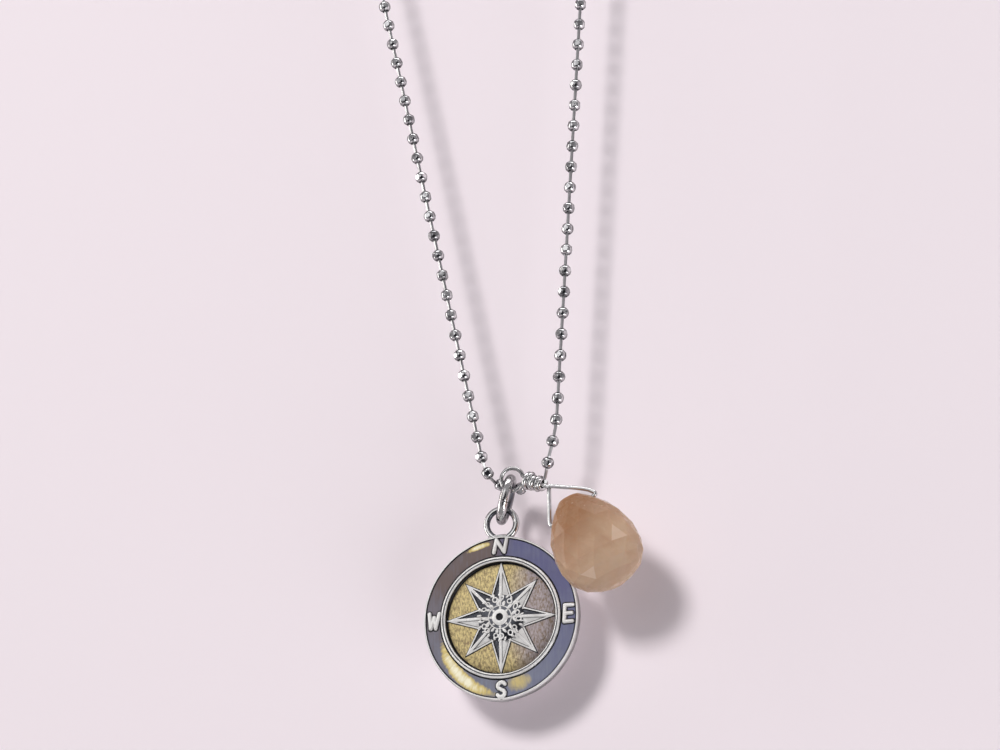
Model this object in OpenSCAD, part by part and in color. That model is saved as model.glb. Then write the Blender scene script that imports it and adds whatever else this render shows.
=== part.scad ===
// Compass pendant necklace: a silver ball chain that carries a round compass charm and a faceted stone drop.
// Millimetres, +Z up. The chain hangs from the origin, and the charm's face looks along -Y.

/* [Chain] */
// Length of the necklace, once round
chain_length = 457; // [420:1:500]
// Diameter of a bead
bead_d = 1.2; // [1.1:0.01:1.25]
// Distance from bead to bead
bead_pitch = 2.16; // [2.0:0.01:2.4]
// Diameter of the hole through a bead
bead_bore = 0.62; // [0.58:0.01:0.65]
// Diameter of the link wire in the beads
link_d = 0.34; // [0.28:0.01:0.36]
// Lean of the left strand from plumb, in degrees
left_lean = 12.1; // [11:0.1:13]
// Lean of the right strand from plumb, in degrees
right_lean = 3.6; // [3:0.1:5]

/* [Clasp] */
// Radius of the clasp ring, to the middle of its tube
clasp_r = 2.4; // [2.2:0.05:3]
// Diameter of the clasp's tube
clasp_tube = 1.2; // [1.1:0.05:1.3]
// Radius of the clasp's eye, to the middle of its wire
clasp_eye_r = 0.9; // [0.85:0.05:1.1]
// Diameter of the eye's wire
clasp_eye_wire = 0.5; // [0.45:0.05:0.55]
// Radius of the end ring, to the middle of its wire
end_ring_r = 1.6; // [1.5:0.05:1.9]
// Diameter of the end ring's wire
end_ring_wire = 0.7; // [0.6:0.05:0.75]
// Radius of the turned eye at each end of the link wire
link_eye_r = 0.9; // [0.85:0.01:1]

/* [Jump ring] */
// Radius of the jump ring, to the middle of its wire
ring_r = 2; // [1.95:0.05:2.3]
// Diameter of the jump ring's wire
ring_wire = 1.08; // [1.0:0.01:1.12]
// Tilt of the ring away from the viewer, in degrees
ring_tilt = 16; // [14:1:18]
// Sideways lean of the ring, in degrees
ring_lean = 14; // [12:1:16]
// Turn of the ring about the upright, in degrees
ring_turn = 13; // [10:1:15]

/* [Compass charm] */
// Width of the charm
disc_w = 15.36; // [14.6:0.02:15.6]
// Height of the charm without its loop
disc_h = 16.08; // [15.8:0.02:17]
// Thickness of the charm at its flat band
disc_t = 1.35; // [1.2:0.05:1.5]
// Distance from the loop's plane back to the middle of the charm
disc_set_back = 0.3; // [0.1:0.01:0.34]
// Radius of the charm's loop, to the middle of its wire
loop_r = 1.47; // [1.4:0.01:1.8]
// Diameter of the loop's wire
loop_wire = 0.62; // [0.55:0.01:0.7]
// Outer radius of the raised ring round the compass
rim_r = 5.93; // [5.6:0.01:6.1]
// Width of the raised ring
rim_w = 0.46; // [0.35:0.01:0.6]
// Height of the raised ring over the flat band
rim_rise = 0.16; // [0.1:0.01:0.25]
// Depth of the compass field below the flat band
field_depth = 0.4; // [0.3:0.01:0.5]
// Length of a long point of the star, from the centre
long_point = 5.42; // [5:0.01:5.45]
// Length of a short point of the star, from the centre
short_point = 4.95; // [4.5:0.01:5.3]
// Distance of the star's valleys from the centre
star_valley = 2.45; // [2.2:0.05:2.8]
// Height of the star's middle over the field
star_rise = 0.62; // [0.5:0.01:0.7]
// Radius of the middle boss
boss_r = 0.9; // [0.8:0.01:1]
// Height of the boss over the flat band
boss_rise = 0.32; // [0.28:0.01:0.4]
// Radius of the dimple in the boss
dimple_r = 0.24; // [0.15:0.01:0.3]
// Number of petals round the boss
petals = 12; // [8:1:14]
// Radius of a petal
petal_r = 0.3; // [0.25:0.01:0.34]
// Distance of the petals from the centre
petal_ring = 1.5; // [1.4:0.01:1.7]
// Height of the compass letters
letter_h = 1.7; // [1.3:0.01:1.75]
// Width of a letter's stroke
stroke_w = 0.36; // [0.25:0.01:0.4]
// Height of the letters over the flat band
letter_rise = 0.22; // [0.15:0.01:0.3]

/* [Stone drop] */
// Length of the stone
stone_l = 10.25; // [9.8:0.05:10.8]
// Width of the stone
stone_w = 8.6; // [8.2:0.05:9]
// Thickness of the stone, front to back
stone_t = 5.8; // [5.4:0.05:6]
// Lean of the stone from plumb, in degrees
stone_lean = 25; // [24:0.5:26]
// Distance of the drilled hole from the stone's tip
stone_hole_at = 1.35; // [1.3:0.01:1.5]
// Diameter of the drilled hole
stone_bore = 0.64; // [0.62:0.01:0.7]
// Diameter of the drop's wire
drop_wire_d = 0.4; // [0.36:0.01:0.42]
// Radius of the drop's hanging eye, to the middle of its wire
eye_r = 1.2; // [1.16:0.01:1.24]
// Number of wraps of wire below the eye
wraps = 5; // [3:1:5]

/* [Hidden] */
$fn = 48;
silver = [0.8, 0.8, 0.82];
peach = [0.79, 0.62, 0.53];
gap = 0.1;             // clearance between links
sink = 0.1;            // how far a soldered piece reaches into its neighbour
link_sides = 6;        // sides of the link wire
drop_sides = 8;        // sides of the drop's wire
slot_play = 0.06;      // how far a link wire runs straight past each end of a bead
first_bead_gap = 0.9;  // least distance from a link eye to the first bead

// Where the chain passes through the jump ring, on the thread: the pendant is placed from here.
// The chain's route through the knot, from the left strand to the right one, measured from that place.
route = [
    [-3.35, -0.85, 4.8],
    [-2.92, -0.85, 2.77],
    [-2.1, -1.6, 0.85],
    [-1.37, 0.17, 0.08],
    [0.93, 0.22, -0.4],
    [2.95, 0.2, 0.15],
    [3.68, -0.7, 1.95],
    [4.25, -0.85, 3.9],
    [4.62, -0.85, 6],
];
ring_share = 0.44;      // where the ring hangs on the thread, from the bead on its left to the one on its right
strand_y = route[0].y;

function unit(v) = v / norm(v);
function mix(a, b, t) = a + (b - a) * t;
function cross2(u, v) = u.x * v.y - u.y * v.x;
function flat(p) = [p.x, p.z];
function curve(a, b, c, d, t) =
    0.5 * (2 * b + (c - a) * t + (2 * a - 5 * b + 4 * c - d) * t * t + (3 * b - a - 3 * c + d) * t * t * t);
function running(points) =
    [for (i = 0, s = 0; i < len(points); i = i + 1, s = s + (i < len(points) ? norm(points[i] - points[i - 1]) : 0)) s];

// The smooth route through the knot, with the strands' lines as its ends
left_way = [-sin(left_lean), cos(left_lean)];
right_way = [sin(right_lean), cos(right_lean)];
last = len(route) - 1;
ends = concat(
    [route[0] + bead_pitch * [left_way.x, 0, left_way.y]],
    route,
    [route[last] + bead_pitch * [right_way.x, 0, right_way.y]]
);
knot = [for (i = [1:last]) for (k = [0:5]) curve(ends[i - 1], ends[i], ends[i + 1], ends[i + 2], k / 6)];
knot_full = concat(knot, [route[last]]);
knot_sums = running(knot_full);
knot_length = knot_sums[len(knot_sums) - 1];

// Both strands run straight up and meet in a round top whose radius gives the chain its length
span = flat(route[last]) - flat(route[0]);
left_reach = -cross2(span, right_way) / cross2(left_way, right_way);
right_reach = -cross2(span, left_way) / cross2(left_way, right_way);
half_open = (left_lean + right_lean) / 2;
tilt = (right_lean - left_lean) / 2;
top_r = (chain_length - knot_length + left_reach + right_reach)
    / (2 / tan(half_open) + (180 + 2 * half_open) * PI / 180);
crossing = flat(route[0]) - left_reach * left_way;
centre = crossing + top_r / sin(half_open) * [sin(tilt), cos(tilt)];

// Places along the clasp, from the left link eye to the right one
eye_to_clasp_eye = link_eye_r - link_d / 2 - clasp_eye_wire / 2 - gap + clasp_eye_r - 0.2;
clasp_eye_to_clasp = clasp_eye_r + clasp_eye_wire / 2 + clasp_r + clasp_tube / 2 - 0.3;
clasp_to_end_ring = clasp_r - clasp_tube / 2 - gap + end_ring_r - end_ring_wire / 2 - 0.05;
end_ring_to_eye = link_eye_r - link_d / 2 - gap + end_ring_r - end_ring_wire / 2 - 0.05;
clasp_span = eye_to_clasp_eye + clasp_eye_to_clasp + clasp_to_end_ring + end_ring_to_eye;
eye_x = clasp_span / 2;
clasp_eye_x = -eye_x + eye_to_clasp_eye;
clasp_x = clasp_eye_x + clasp_eye_to_clasp;
end_ring_x = clasp_x + clasp_to_end_ring;

// The origin is on the clasp's line at the middle of the round top
top = [centre.x, strand_y, centre.y + sqrt(top_r * top_r - eye_x * eye_x)];
knot_at = -top;
eye_reach = eye_x + link_eye_r;
eye_angle = asin(eye_reach / top_r);
function round_top(a) = [top_r * cos(a), 0, centre.y + top_r * sin(a) - top.z];
left_top = [for (k = [0:40]) round_top(mix(90 + eye_angle, 180 + left_lean, k / 40))];
right_top = [for (k = [0:40]) round_top(mix(-right_lean, 90 - eye_angle, k / 40))];
way = concat(left_top, [for (p = knot_full) p + knot_at], right_top);
way_sums = running(way);
way_length = way_sums[len(way_sums) - 1];
way_x = [for (i = [0:len(way) - 1]) [way_sums[i], way[i].x]];
way_y = [for (i = [0:len(way) - 1]) [way_sums[i], way[i].y]];
way_z = [for (i = [0:len(way) - 1]) [way_sums[i], way[i].z]];
function along(s) = [lookup(s, way_x), lookup(s, way_y), lookup(s, way_z)];

// The ring hangs midway between two beads
ring_s = way_sums[len(left_top) + 18] + bead_pitch / 2;
beads_left = floor((ring_s - first_bead_gap) / bead_pitch - 0.5);
beads_right = floor((way_length - ring_s - first_bead_gap) / bead_pitch - 0.5);
bead_s = [for (k = [-beads_left - 1:beads_right]) ring_s + (k + 0.5) * bead_pitch];
half_bead = bead_d / 2 + slot_play;
bead_ends = [for (s = bead_s) [along(s - half_bead), along(s + half_bead)]];

// A tube of the given radius along points, its rings kept from twisting
module tube(points, r, sides) {
    n = len(points);
    ways = [for (i = [0:n - 1]) unit(points[min(i + 1, n - 1)] - points[max(i - 1, 0)])];
    first = unit(cross(ways[0], abs(ways[0].z) < 0.9 ? [0, 0, 1] : [0, 1, 0]));
    sidesways = [for (i = 0, v = first; i < n; i = i + 1, v = i < n ? unit(v - (v * ways[i]) * ways[i]) : v) v];
    vertices = [for (i = [0:n - 1]) for (k = [0:sides - 1])
        let (a = 360 * k / sides, u = sidesways[i], w = cross(ways[i], u))
        points[i] + r * (cos(a) * u + sin(a) * w)];
    function id(i, k) = i * sides + k % sides;
    walls = [for (i = [0:n - 2]) for (k = [0:sides - 1]) each [
        [id(i, k), id(i + 1, k), id(i, k + 1)],
        [id(i, k + 1), id(i + 1, k), id(i + 1, k + 1)]]];
    caps = [[for (k = [0:sides - 1]) id(0, k)], [for (k = [sides - 1:-1:0]) id(n - 1, k)]];
    polyhedron(vertices, concat(walls, caps), convexity = 10);
}

// A ring of round wire about the Z axis
module wire_ring(r, d) {
    rotate_extrude() translate([r, 0]) circle(d = d);
}

// Turns the Z axis to the given direction
module aim(way) {
    rotate([0, acos(way.z / norm(way)), atan2(way.y, way.x)]) children();
}

// A drilled ball about the Z axis
module bead() {
    rotate_extrude() intersection() {
        circle(d = bead_d);
        translate([bead_bore / 2, -bead_d / 2]) square(bead_d);
    }
}

module bead_chain() {
    color(silver)
        for (e = bead_ends) translate((e[0] + e[1]) / 2) aim(e[1] - e[0]) bead();
}

// The link wire runs straight through each bead, bends between beads, and ends in a turned eye at both ends
module link_wire() {
    eye = [for (a = [140:-20:-160]) [link_eye_r * cos(a), 0, link_eye_r * sin(a)]];
    tail = [[-link_eye_r - 0.02, 0, -0.04], [-link_eye_r - 0.3, 0, 0]];
    left_end = [for (p = concat(eye, tail)) p - [eye_x, 0, 0]];
    right_end = [for (i = [len(left_end) - 1:-1:0]) [-left_end[i].x, 0, left_end[i].z]];
    color(silver)
        tube(concat(left_end, [for (e = bead_ends) each e], right_end), link_d / 2, link_sides);
}

module clasp() {
    color(silver) {
        translate([clasp_x, 0, 0]) rotate([90, 0, 0]) wire_ring(clasp_r, clasp_tube);
        translate([clasp_eye_x, 0, 0]) wire_ring(clasp_eye_r, clasp_eye_wire);
    }
}

module end_ring() {
    color(silver) translate([end_ring_x, 0, 0]) wire_ring(end_ring_r, end_ring_wire);
}

// The ring hangs on the thread with a small gap, and the charm's loop on the ring
ring_hang = ring_r - ring_wire / 2 - link_d / 2 - gap;
ring_pivot = mix(bead_ends[beads_left][1], bead_ends[beads_left + 1][0], ring_share) - [0, 0.25, 0];
function turned(v, a) = [v.x * cos(a) - v.y * sin(a), v.x * sin(a) + v.y * cos(a), v.z];
function leant(v, a) = [v.x * cos(a) + v.z * sin(a), v.y, v.z * cos(a) - v.x * sin(a)];
function tilted(v, a) = [v.x, v.y * cos(a) - v.z * sin(a), v.y * sin(a) + v.z * cos(a)];
function ring_way(v) = turned(leant(v, ring_lean), ring_turn);
ring_centre = ring_pivot + ring_way(tilted([0, 0, -ring_hang], ring_tilt));
ring_low = ring_centre + ring_way([0, 0, -ring_r]);
loop_rest = ring_low + [0, 0, ring_wire / 2 + loop_wire / 2 + gap];
loop_centre = loop_rest - [0, 0, loop_r];
disc_top = loop_centre.z - loop_r + loop_wire / 2 - 0.06;
disc_centre = [loop_centre.x, loop_centre.y + disc_set_back, disc_top - disc_h / 2];

module jump_ring() {
    color(silver)
        translate(ring_centre) rotate([0, 0, ring_turn]) rotate([0, ring_lean, 0]) rotate([0, 90, 0])
            wire_ring(ring_r, ring_wire);
}

// A round outline a little taller than it is wide
module disc_outline() {
    radius = disc_h / 2;
    shift = radius - disc_w / 2;
    intersection() {
        translate([shift, 0]) circle(radius, $fn = 96);
        translate([-shift, 0]) circle(radius, $fn = 96);
    }
}

// An eight-pointed star with a ridge along each point
module star() {
    tips = [for (k = [0:15]) let (a = 90 - k * 22.5,
        r = k % 2 == 1 ? star_valley : k % 4 == 0 ? long_point : short_point) [r * cos(a), r * sin(a), 0]];
    low = [for (p = tips) p - [0, 0, sink]];
    vertices = concat(tips, low, [[0, 0, star_rise], [0, 0, -sink]]);
    roof = [for (k = [0:15]) [k, (k + 1) % 16, 32]];
    floor_faces = [for (k = [0:15]) [16 + (k + 1) % 16, 16 + k, 33]];
    walls = [for (k = [0:15]) each [
        [16 + k, 16 + (k + 1) % 16, k],
        [k, 16 + (k + 1) % 16, (k + 1) % 16]]];
    polyhedron(vertices, concat(roof, floor_faces, walls));
}

module stroke(a, b) {
    along_way = b - a;
    translate(a) rotate(atan2(along_way.y, along_way.x)) translate([0, -stroke_w / 2])
        square([norm(along_way), stroke_w]);
    for (p = [a, b]) translate(p) circle(d = stroke_w, $fn = 16);
}

// The letters are joined strokes, each given by the corners it runs through, as shares of the letter's height
letters = [
    ["N", 90, [[[-0.36, -0.4], [-0.24, 0.4]], [[-0.24, 0.4], [0.24, -0.4]], [[0.24, -0.4], [0.36, 0.4]]]],
    ["E", 0, [[[-0.24, -0.42], [-0.24, 0.42]], [[-0.24, 0.42], [0.26, 0.42]], [[-0.24, 0], [0.18, 0]],
        [[-0.24, -0.42], [0.26, -0.42]]]],
    ["S", 270, [[[0.24, 0.4], [-0.2, 0.36]], [[-0.2, 0.36], [-0.2, 0.06]], [[-0.2, 0.06], [0.2, -0.06]],
        [[0.2, -0.06], [0.2, -0.36]], [[0.2, -0.36], [-0.24, -0.4]]]],
    ["W", 180, [[[-0.36, 0.4], [-0.2, -0.4]], [[-0.2, -0.4], [0.02, 0.16]], [[0.02, 0.16], [0.14, -0.4]],
        [[0.14, -0.4], [0.38, 0.4]]]],
];

module letter_marks() {
    across = (rim_r + disc_w / 2) / 2;
    upright = (rim_r + disc_h / 2) / 2;
    for (l = letters) translate([across * cos(l[1]), upright * sin(l[1]), -sink])
        linear_extrude(letter_rise + sink)
            for (s = l[2]) stroke(s[0] * letter_h, s[1] * letter_h);
}

module compass_disc() {
    color(silver) translate(disc_centre) rotate([90, 0, 0]) translate([0, 0, disc_t / 2]) {
        difference() {
            translate([0, 0, -disc_t]) linear_extrude(disc_t) disc_outline();
            translate([0, 0, -field_depth]) cylinder(r = rim_r - rim_w, h = field_depth + 1);
        }
        translate([0, 0, -sink]) linear_extrude(rim_rise + sink) difference() {
            circle(rim_r);
            circle(rim_r - rim_w);
        }
        translate([0, 0, -field_depth]) star();
        difference() {
            translate([0, 0, -field_depth - sink]) cylinder(r = boss_r, h = boss_rise + field_depth + sink);
            translate([0, 0, boss_rise]) sphere(dimple_r);
        }
        for (k = [0:petals - 1]) rotate(k * 360 / petals) translate([petal_ring, 0, 0]) sphere(petal_r);
        letter_marks();
        translate([0, disc_h / 2 + loop_centre.z - disc_top, disc_set_back - disc_t / 2])
            wire_ring(loop_r, loop_wire);
    }
}

// The stone hangs point up from a wire through its drilled hole
stone_tip = knot_at + [6.45, -2.25, -1.85];
stone_way = [sin(stone_lean), 0, -cos(stone_lean)];
hole_lean = stone_lean + 8;
hole_way = [cos(hole_lean), 0, sin(hole_lean)];
hole_at = stone_tip + stone_hole_at * stone_way;

// Rows of corners down the stone: how far down, and how wide, as shares of its length and width
stone_rows = [
    [0, 0.3],
    [0.09, 0.53],
    [0.22, 0.77],
    [0.37, 0.94],
    [0.53, 1.01],
    [0.68, 1],
    [0.81, 0.89],
    [0.91, 0.69],
    [0.97, 0.43],
    [1, 0.2],
];

module drop_stone() {
    sides = 14;
    rows = len(stone_rows);
    vertices = [for (j = [0:rows - 1]) for (k = [0:sides - 1])
        let (a = (k + (j % 2) / 2) * 360 / sides, r = stone_rows[j][1])
        [stone_w / 2 * r * cos(a), stone_t / 2 * r * sin(a), -stone_rows[j][0] * stone_l]];
    function id(j, k) = j * sides + (k + sides) % sides;
    walls = [for (j = [0:rows - 2]) for (k = [0:sides - 1]) each (j % 2 == 0
        ? [[id(j, k), id(j, k + 1), id(j + 1, k)], [id(j, k + 1), id(j + 1, k + 1), id(j + 1, k)]]
        : [[id(j, k), id(j + 1, k + 1), id(j + 1, k)], [id(j, k), id(j, k + 1), id(j + 1, k + 1)]])];
    caps = [[for (k = [sides - 1:-1:0]) id(0, k)], [for (k = [0:sides - 1]) id(rows - 1, k)]];
    color(peach) difference() {
        translate(stone_tip) rotate([0, -stone_lean, 0]) polyhedron(vertices, concat(walls, caps));
        translate(hole_at) aim(hole_way) cylinder(d = stone_bore, h = stone_w, center = true);
    }
}

// The wire starts as wraps round its own stem, forms the hanging eye, runs down the stem and through the stone
eye_tilt = 10;
eye_centre = knot_at + [0.12, -0.92, 0.23];
stem_top = knot_at + [1.8, -1.35, -0.05];
stem_low = knot_at + [3.55, -1.6, -0.8];
apex = knot_at + [4.05, -1.75, -1.05];
wrap_r = drop_wire_d + 0.03;
wrap_wide = 0.24;      // how much further out the wraps are at the eye's end

function eye_point(a, side) = eye_centre + tilted([eye_r * cos(a), side, eye_r * sin(a)], eye_tilt);

module drop_wire() {
    stem = unit(stem_low - stem_top);
    up = unit(cross(stem, [0, 1, 0]));
    out = cross(stem, up);
    wrap_path = [for (i = [0:12 * wraps])
        let (a = 90 - 360 * (wraps - i / 12))
        mix(stem_low, stem_top, i / (12 * wraps)) + (wrap_r + wrap_wide * i / (12 * wraps)) * (cos(a) * out + sin(a) * up)];
    hang = atan2(stem_top.z - eye_centre.z, stem_top.x - eye_centre.x);
    eye_path = [for (k = [0:20]) let (a = mix(hang + 26, hang + 334, k / 20)) eye_point(a, mix(0.15, -0.15, k / 20))];
    half_in = stone_w * 0.345;
    half_out = stone_w * 0.285;
    leg_in = [apex + [0.05, -0.1, -0.3], mix(apex, hole_at - half_in * hole_way, 0.5) - [0.12, 0, 0.05],
        hole_at - (half_in + 0.15) * hole_way + [-0.05, 0, 0.12], hole_at - half_in * hole_way];
    over = hole_at + [-0.85, 0.3, 2.2];
    leg_out = [hole_at + half_out * hole_way, hole_at + (half_out + 0.24) * hole_way + [0, 0, 0.12],
        hole_at + [1.95, 0, 1.9], hole_at + [0.6, 0.04, 2.25], over, mix(apex, over, 0.3) + [0, 0, 0.02]];
    color(silver)
        tube(concat(wrap_path, eye_path, [stem_top, stem_low, apex], leg_in, leg_out), drop_wire_d / 2, drop_sides);
}

bead_chain();
link_wire();
clasp();
end_ring();
jump_ring();
compass_disc();
drop_wire();
drop_stone();
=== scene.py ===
import math
import random

import bmesh
import bpy
from mathutils import Matrix, Vector, noise


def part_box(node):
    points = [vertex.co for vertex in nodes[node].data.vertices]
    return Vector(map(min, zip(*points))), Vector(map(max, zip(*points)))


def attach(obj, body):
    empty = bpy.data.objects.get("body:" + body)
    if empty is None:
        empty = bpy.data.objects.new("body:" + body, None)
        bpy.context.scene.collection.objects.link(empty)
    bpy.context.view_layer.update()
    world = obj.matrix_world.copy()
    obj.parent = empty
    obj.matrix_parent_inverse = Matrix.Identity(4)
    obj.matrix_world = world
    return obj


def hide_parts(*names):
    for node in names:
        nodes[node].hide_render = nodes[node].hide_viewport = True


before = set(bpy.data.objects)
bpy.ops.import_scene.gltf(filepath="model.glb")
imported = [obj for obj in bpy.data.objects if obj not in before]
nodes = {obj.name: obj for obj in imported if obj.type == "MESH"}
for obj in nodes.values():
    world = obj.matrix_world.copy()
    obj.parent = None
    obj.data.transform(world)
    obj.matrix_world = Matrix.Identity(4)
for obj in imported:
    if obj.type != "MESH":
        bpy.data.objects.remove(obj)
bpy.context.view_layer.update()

mm = 0.001
upright = Matrix.Rotation(math.radians(90), 4, "X")  # stands a flat shape up, to face the viewer
knot = Vector((12.340, 0.85, -206.828))  # where the chain passes through the ring, in mm

# Camera

cameraSettings = {
    "turn": 16, "tilt": -17, "distance": 300, "lens": 111.9,
    "across": 1.25, "down": -10.6,  # from the picture's middle to the knot, in mm
}


def viewAxes(turn, tilt):  # right, up and back of someone who looks at the charm from there
    a, e = math.radians(turn), math.radians(tilt)
    back = Vector((math.sin(a) * math.cos(e), -math.cos(a) * math.cos(e), math.sin(e)))
    right = (-back).cross(Vector((0, 0, 1))).normalized()
    return right, right.cross(-back), back


def makeCamera(s):
    right, up, back = viewAxes(s["turn"], s["tilt"])
    data = bpy.data.cameras.new("camera")
    data.lens = s["lens"]
    data.clip_start, data.clip_end = 0.01, 10
    camera = bpy.data.objects.new("camera", data)
    bpy.context.scene.collection.objects.link(camera)
    place = knot + back * s["distance"] - right * s["across"] - up * s["down"]
    turn = Matrix((right, up, back)).transposed().to_4x4()
    camera.matrix_world = Matrix.Translation(place * mm) @ turn
    bpy.context.scene.camera = camera


makeCamera(cameraSettings)
bpy.context.scene.view_settings.view_transform = "Standard"
print("camera made")

# Lights and backdrop

lightSettings = {  # turn, tilt, distance and size in metres, watts, colour, whether the metal mirrors it
    "key": (-18, 24, 1.4, (0.32, 0.32), 11.2, (1, 0.98, 0.96), False),
    "card": (-17, 17, 0.5, (0.36, 0.3), 0.22, (1, 1, 1), True),
    "lowRight": (62, -38, 0.5, (0.34, 0.3), 1.0, (1, 0.99, 1), True),
    "left": (-84, 4, 0.55, (0.16, 0.5), 1.3, (1, 0.97, 0.93), True),
    "top": (10, 78, 0.5, (0.5, 0.12), 0.8, (1, 1, 1), True),
    "behind": (196, 24, 0.7, (0.4, 0.4), 3, (1, 1, 1), True),
}
wallSettings = {  # behind in mm, size and middle in metres
    "colour": (0.91, 0.828, 0.883), "behind": 6.2, "size": 0.9, "middle": (0.01, -0.2), "glow": 0.02,
}
roomSettings = {  # the wall's colour all round, a pale room in the metal, and the dark shape of the viewer
    "seen": (0.871, 0.785, 0.831), "light": (0.28, 0.27, 0.28), "dark": (0.02, 0.02, 0.025),
    "darkTurn": 14, "darkTilt": -15, "darkInside": 26, "darkOutside": 39, "diffuseShare": 0.5,
}


def makeLight(name, turn, tilt, distance, size, watts, colour, inMetal):
    right, up, back = viewAxes(turn, tilt)
    data = bpy.data.lights.new(name, "AREA")
    data.shape = "RECTANGLE"
    data.size, data.size_y = size
    data.energy, data.color = watts, colour
    light = bpy.data.objects.new(name, data)
    bpy.context.scene.collection.objects.link(light)
    turned = Matrix((right, up, back)).transposed().to_4x4()
    light.matrix_world = Matrix.Translation(knot * mm + back * distance) @ turned
    light.visible_glossy = inMetal
    light.visible_camera = False


def addNode(tree, kind, **values):
    node = tree.nodes.new(kind)
    for key, value in values.items():
        setattr(node, key, value)
    return node


def feed(tree, value, socket):  # links another node's output, or sets a colour or a number
    if isinstance(value, bpy.types.NodeSocket):
        tree.links.new(value, socket)
    else:
        socket.default_value = (*value, 1) if isinstance(value, tuple) else value


def ranged(tree, value, low, high, newLow, newHigh):
    node = addNode(tree, "ShaderNodeMapRange")
    for socket, source in zip(node.inputs, (value, low, high, newLow, newHigh)):
        feed(tree, source, socket)
    return node.outputs["Result"]


def maths(tree, operation, *values):
    node = addNode(tree, "ShaderNodeMath", operation=operation)
    for socket, value in zip(node.inputs, values):
        feed(tree, value, socket)
    return node.outputs["Value"]


def added(tree, first, *others):
    for other in others:
        first = maths(tree, "ADD", first, other)
    return first


def times(tree, a, b):
    return maths(tree, "MULTIPLY", a, b)


def colourMix(tree, factor, a, b):
    node = addNode(tree, "ShaderNodeMix", data_type="RGBA")
    for source, i in ((factor, 0), (a, 6), (b, 7)):  # the colour sockets of a node that also mixes numbers
        feed(tree, source, node.inputs[i])
    return node.outputs[2]


def makeWall(s):
    bm = bmesh.new()
    bmesh.ops.create_grid(bm, x_segments=1, y_segments=1, size=s["size"] / 2)
    across, up = s["middle"]
    bm.transform(Matrix.Translation((across, s["behind"] * mm, up)) @ upright)
    mesh = bpy.data.meshes.new("wall")
    bm.to_mesh(mesh)
    bm.free()
    wall = bpy.data.objects.new("wall", mesh)
    bpy.context.scene.collection.objects.link(wall)
    material = bpy.data.materials.new("wallPaint")
    material.use_nodes = True
    tree = material.node_tree
    tree.nodes.clear()
    out = addNode(tree, "ShaderNodeOutputMaterial")
    paint = addNode(tree, "ShaderNodeBsdfPrincipled")
    for label, value in (("Base Color", s["colour"]), ("Roughness", 1), ("Specular IOR Level", 0),
                         ("Emission Color", s["colour"]), ("Emission Strength", s["glow"])):
        feed(tree, value, paint.inputs[label])
    clear = addNode(tree, "ShaderNodeBsdfTransparent")
    side = addNode(tree, "ShaderNodeNewGeometry")
    mixed = addNode(tree, "ShaderNodeMixShader")
    tree.links.new(side.outputs["Backfacing"], mixed.inputs["Fac"])
    tree.links.new(paint.outputs["BSDF"], mixed.inputs[1])
    tree.links.new(clear.outputs["BSDF"], mixed.inputs[2])
    tree.links.new(mixed.outputs["Shader"], out.inputs["Surface"])
    mesh.materials.append(material)


def makeRoom(s):
    world = bpy.data.worlds.new("room")
    bpy.context.scene.world = world
    world.use_nodes = True
    tree = world.node_tree
    tree.nodes.clear()
    out = addNode(tree, "ShaderNodeOutputWorld")
    seen = addNode(tree, "ShaderNodeBackground")
    seen.inputs["Color"].default_value = (*s["seen"], 1)
    lit = addNode(tree, "ShaderNodeBackground")
    towards = addNode(tree, "ShaderNodeTexCoord")
    facing = addNode(tree, "ShaderNodeVectorMath", operation="DOT_PRODUCT")
    facing.inputs[1].default_value = viewAxes(s["darkTurn"], s["darkTilt"])[2]
    tree.links.new(towards.outputs["Generated"], facing.inputs[0])
    edges = [math.cos(math.radians(s[key])) for key in ("darkOutside", "darkInside")]
    dark = ranged(tree, facing.outputs["Value"], *edges, 0, 1)
    tree.links.new(colourMix(tree, dark, s["light"], s["dark"]), lit.inputs["Color"])
    path = addNode(tree, "ShaderNodeLightPath")
    strength = ranged(tree, path.outputs["Is Diffuse Ray"], 0, 1, 1, s["diffuseShare"])
    tree.links.new(strength, lit.inputs["Strength"])
    mixed = addNode(tree, "ShaderNodeMixShader")
    tree.links.new(path.outputs["Is Camera Ray"], mixed.inputs["Fac"])
    tree.links.new(lit.outputs["Background"], mixed.inputs[1])
    tree.links.new(seen.outputs["Background"], mixed.inputs[2])
    tree.links.new(mixed.outputs["Shader"], out.inputs["Surface"])


for name, values in lightSettings.items():
    makeLight(name, *values)
makeWall(wallSettings)
makeRoom(roomSettings)
print("lights and backdrop made")

# Node groups: each puts out colours, values and heights only


def newGroup(name, inputs, outputs):
    group = bpy.data.node_groups.new(name, "ShaderNodeTree")
    for label, kind, value in inputs:
        socket = group.interface.new_socket(label, in_out="INPUT", socket_type="NodeSocket" + kind)
        socket.default_value = value
    for label, kind in outputs:
        group.interface.new_socket(label, in_out="OUTPUT", socket_type="NodeSocket" + kind)
    return group, addNode(group, "NodeGroupInput").outputs, addNode(group, "NodeGroupOutput").inputs


def axesOf(tree, vector):
    split = addNode(tree, "ShaderNodeSeparateXYZ")
    tree.links.new(vector, split.inputs["Vector"])
    return split.outputs


def stretched(tree, vector, scale):
    node = addNode(tree, "ShaderNodeMapping")
    node.inputs["Scale"].default_value = scale
    tree.links.new(vector, node.inputs["Vector"])
    return node.outputs["Vector"]


def noiseOf(tree, vector, scale, detail=3, distortion=0):
    node = addNode(tree, "ShaderNodeTexNoise")
    tree.links.new(vector, node.inputs["Vector"])
    for label, value in (("Scale", scale), ("Detail", detail), ("Distortion", distortion)):
        node.inputs[label].default_value = value
    return node.outputs["Fac"]


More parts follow.
